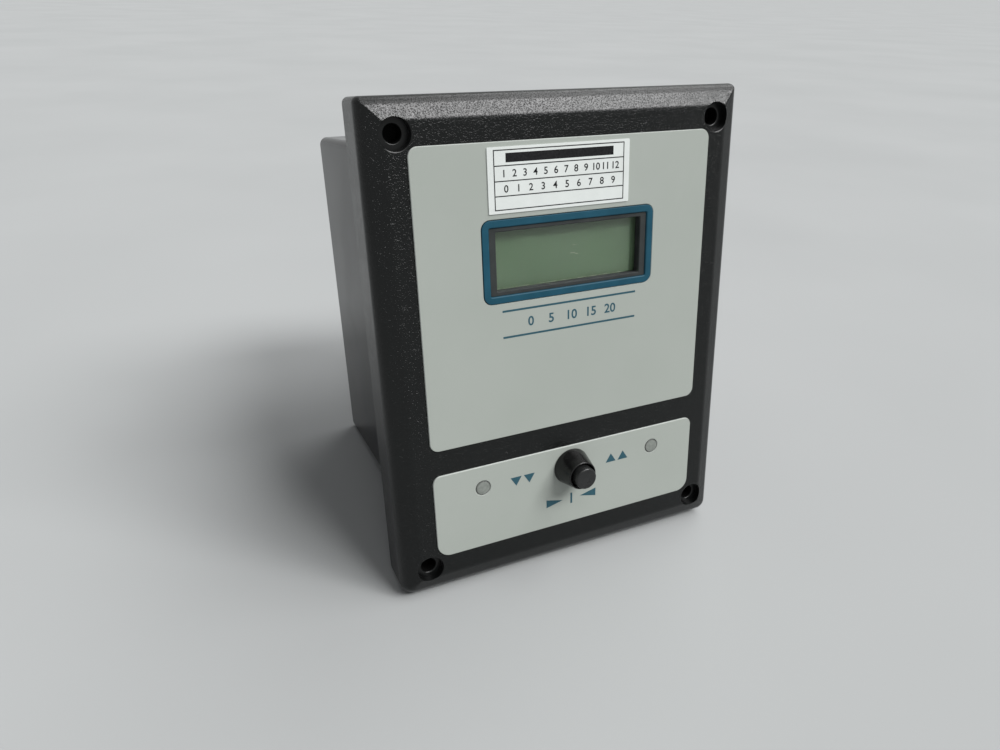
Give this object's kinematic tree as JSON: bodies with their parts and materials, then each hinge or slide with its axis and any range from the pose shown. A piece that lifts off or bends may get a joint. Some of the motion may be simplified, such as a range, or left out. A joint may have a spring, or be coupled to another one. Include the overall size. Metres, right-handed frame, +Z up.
{
  "type": "panel meter",
  "caption": "Panel-mount water monitor: black bezel with grey faceplates, recessed display, lamp windows and a sprung push button, on a glossy housing with rear terminals.",
  "frame": {"origin": "centre of the bounding box, on the surface it stands on", "axes": "+X to the right of the face, +Y from the face to the rear, +Z up; the face leans back by 8.19 degrees"},
  "size_m": [0.1226, 0.139, 0.154],
  "materials": {
    "bezel_black": "textured black moulding",
    "board_green": "green solder mask on glass laminate",
    "button_black": "satin black",
    "capacitor_sleeve": "shrunk sleeve over aluminium can",
    "chip_black": "black moulding compound",
    "clear_plastic": "clear polycarbonate film",
    "coil_tape": "amber tape over copper wire",
    "core_steel": "varnished laminated steel",
    "fuse_glass": "glass tube with end caps",
    "holder_black": "black moulding",
    "housing_black": "smooth glossy black moulding",
    "label_grey": "light grey printed overlay",
    "lamp_grey": "smoked grey lens",
    "lcd_green": "grey-green display glass",
    "led_red": "red diffused resin",
    "relay_blue": "dark blue case",
    "ribbon_grey": "grey insulated ribbon",
    "screw_steel": "zinc-plated steel",
    "seal_rubber": "black elastomer",
    "sticker_white": "white ruled label stock",
    "terminal_black": "black moulding",
    "trim_blue": "satin blue bead",
    "trimmer_blue": "blue case",
    "trimmer_brass": "turned brass"
  },
  "bodies": {
    "case": {"button_sleeve": "button_black", "button_spring": "screw_steel", "calibration_sticker": "sticker_white", "display_board": "board_green", "display_board_screw_1": "screw_steel", "display_board_screw_2": "screw_steel", "display_board_screw_3": "screw_steel", "display_board_screw_4": "screw_steel", "display_header": "chip_black", "display_trim": "trim_blue", "display_window": "clear_plastic", "filter_capacitor": "capacitor_sleeve", "front_bezel": "bezel_black", "fuse": "fuse_glass", "fuse_holder": "holder_black", "housing_gasket": "seal_rubber", "housing_screw_1": "screw_steel", "housing_screw_2": "screw_steel", "housing_screw_3": "screw_steel", "housing_screw_4": "screw_steel", "lcd_glass": "lcd_green", "lcd_holder": "holder_black", "led_high": "led_red", "led_low": "led_red", "led_window_high": "lamp_grey", "led_window_low": "lamp_grey", "lower_faceplate": "label_grey", "main_board": "board_green", "main_board_screw_1": "screw_steel", "main_board_screw_2": "screw_steel", "main_board_screw_3": "screw_steel", "main_board_screw_4": "screw_steel", "main_header": "chip_black", "meter_chip": "chip_black", "rear_housing": "housing_black", "relay": "relay_blue", "ribbon_cable": "ribbon_grey", "switch_base": "chip_black", "switch_body": "chip_black", "terminal_block": "terminal_black", "terminal_screw_1": "screw_steel", "terminal_screw_2": "screw_steel", "terminal_screw_3": "screw_steel", "terminal_screw_4": "screw_steel", "terminal_screw_5": "screw_steel", "terminal_screw_6": "screw_steel", "terminal_screw_7": "screw_steel", "terminal_screw_8": "screw_steel", "transformer_coil": "coil_tape", "transformer_core": "core_steel", "trimmer_body": "trimmer_blue", "upper_faceplate": "label_grey", "zebra_lower": "seal_rubber", "zebra_upper": "seal_rubber"},
    "button": {"button_cap": "button_black"},
    "trimmer": {"trimmer_rotor": "trimmer_brass"}
  },
  "joints": [
    {"name": "button_press", "type": "slide", "parent": "case", "child": "button", "axis": [0, 0.9898, -0.1424], "range_m": [0, 0.0018], "stiffness_N_per_m": 800, "springref_m": -0.001, "deforming": ["button_spring"]},
    {"name": "trimmer_turn", "type": "hinge", "parent": "case", "child": "trimmer", "pos_m": [0.024, 0.05922, 0.07464], "axis": [0, 0.9898, -0.1424], "range_deg": [-135, 135]}
  ]
}
